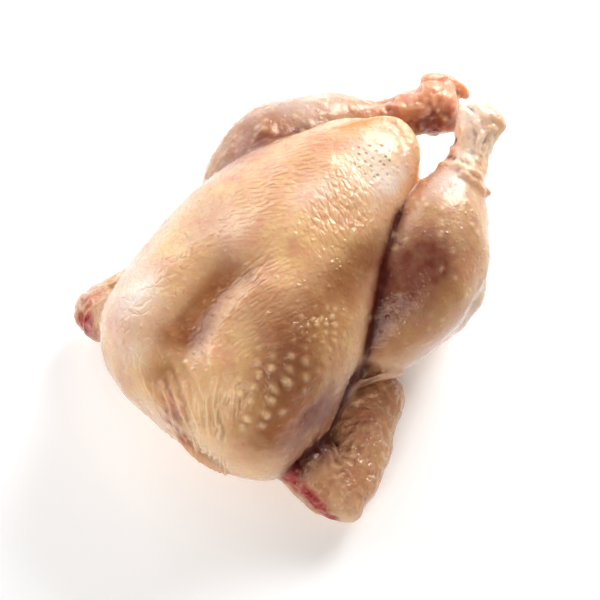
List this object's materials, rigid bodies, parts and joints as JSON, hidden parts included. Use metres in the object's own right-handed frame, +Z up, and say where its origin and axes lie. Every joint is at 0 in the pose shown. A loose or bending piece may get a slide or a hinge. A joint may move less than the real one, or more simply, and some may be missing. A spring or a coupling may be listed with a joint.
{
  "type": "whole raw chicken",
  "caption": "Whole raw chicken, plucked and dressed, lying on its back with folded wings and bare shanks drawn together past the breast tip.",
  "frame": {"origin": "middle of the small flat spot under the back, on which the bird rests", "axes": "+Z up through the breast, +Y along the back towards the tail and the hocks, +X to the bird's own right side"},
  "size_m": [0.1893, 0.2409, 0.1034],
  "materials": {
    "skin": "moist raw poultry skin, satin to glossy, pale peach-cream with yellow fat and pink meat showing through"
  },
  "bodies": {
    "root": {"chicken": "skin"}
  },
  "joints": []
}
